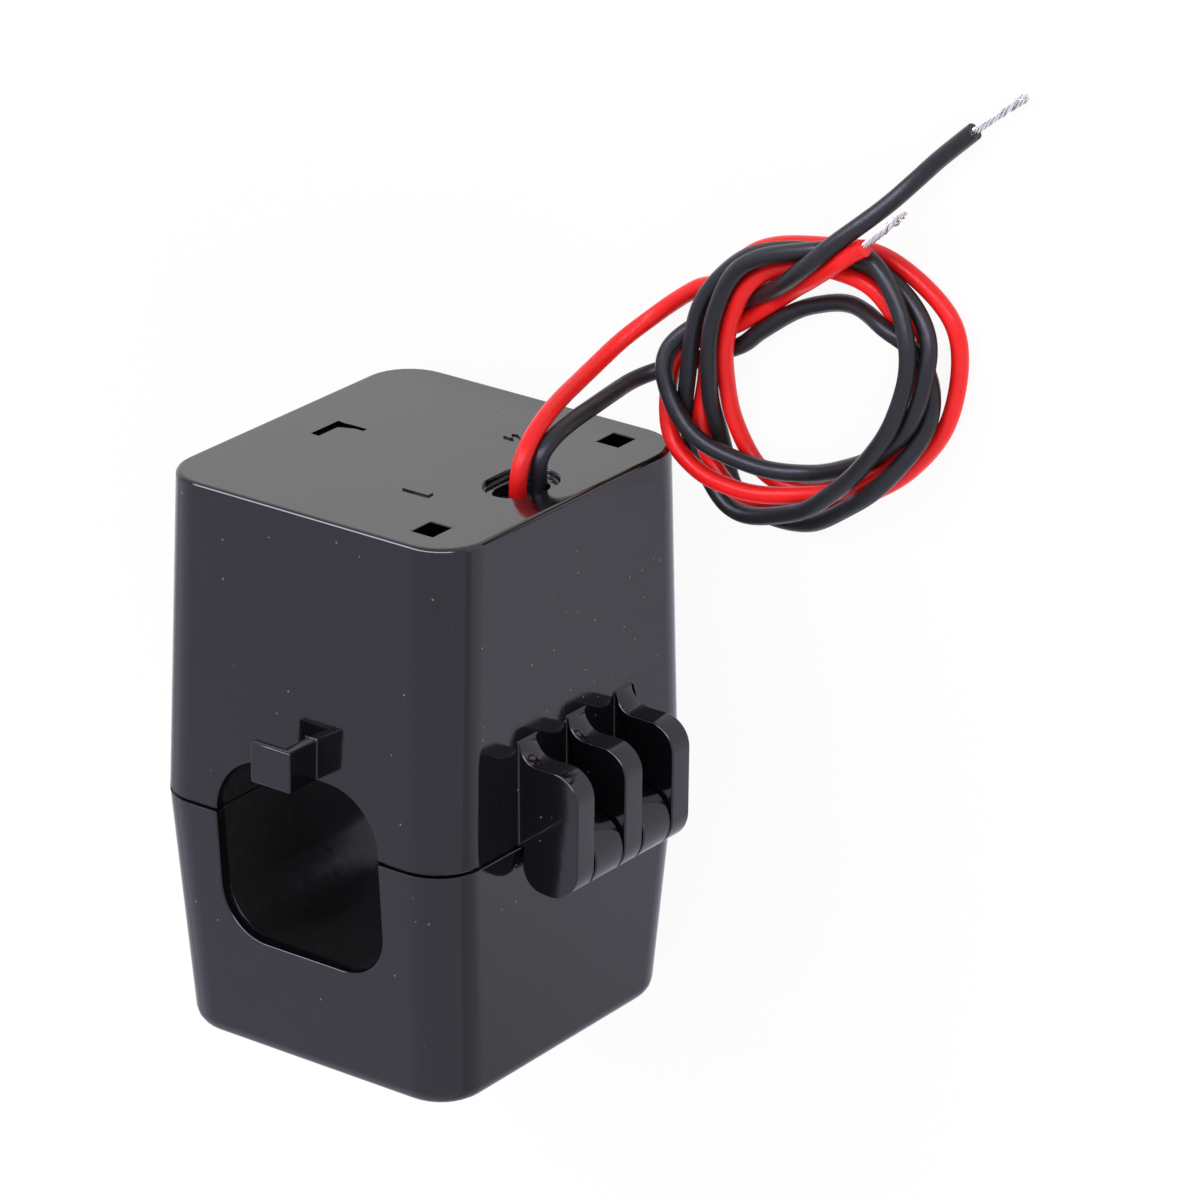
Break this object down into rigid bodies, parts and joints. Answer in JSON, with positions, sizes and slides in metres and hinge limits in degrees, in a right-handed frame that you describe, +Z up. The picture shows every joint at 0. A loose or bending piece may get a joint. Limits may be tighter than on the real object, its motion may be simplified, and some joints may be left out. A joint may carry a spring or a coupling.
{
  "type": "split-core current transformer",
  "caption": "Hinged split-core current transformer with a square conductor window, snap latch, tie hook and a red and a black wire lead.",
  "frame": {"origin": "bottom centre of the object without its leads, which lies on its back with the window upright", "axes": "+Z up along the window's axis, from the back to the front with the tie hook; +Y towards the lead end; +X towards the hinge"},
  "size_m": [0.0624, 0.082, 0.0358],
  "materials": {
    "black_case": "glossy black moulded plastic",
    "core_steel": "stacked silicon steel, ground pole faces",
    "spring_steel": "bright spring steel",
    "bobbin_nylon": "natural nylon",
    "winding_copper": "enamelled copper wire",
    "yellow_tape": "polyester tape",
    "adhesive": "black hot-melt adhesive",
    "red_insulation": "satin red wire insulation",
    "black_insulation": "satin black wire insulation",
    "tinned_strands": "twisted tinned copper strands"
  },
  "bodies": {
    "main_half": {"main_housing": "black_case", "main_inner_cover": "black_case", "main_core": "core_steel", "bobbin_upper": "bobbin_nylon", "bobbin_lower": "bobbin_nylon", "secondary_winding": "winding_copper", "winding_tape": "yellow_tape", "hinge_pin": "spring_steel", "lead_seal": "adhesive", "red_splice": "red_insulation", "black_splice": "black_insulation", "red_lead": "red_insulation", "black_lead": "black_insulation", "lead_coil": "black_insulation", "red_tail": "red_insulation", "black_tail": "black_insulation", "red_strands": "tinned_strands", "black_strands": "tinned_strands"},
    "lid_half": {"lid_housing": "black_case", "lid_inner_cover": "black_case", "lid_core": "core_steel", "lid_spring": "spring_steel"}
  },
  "joints": [
    {"name": "lid_hinge", "type": "hinge", "parent": "main_half", "child": "lid_half", "pos_m": [0.01653, -0.0037, 0.0164], "axis": [0, 0, 1], "range_deg": [0, 160]}
  ]
}
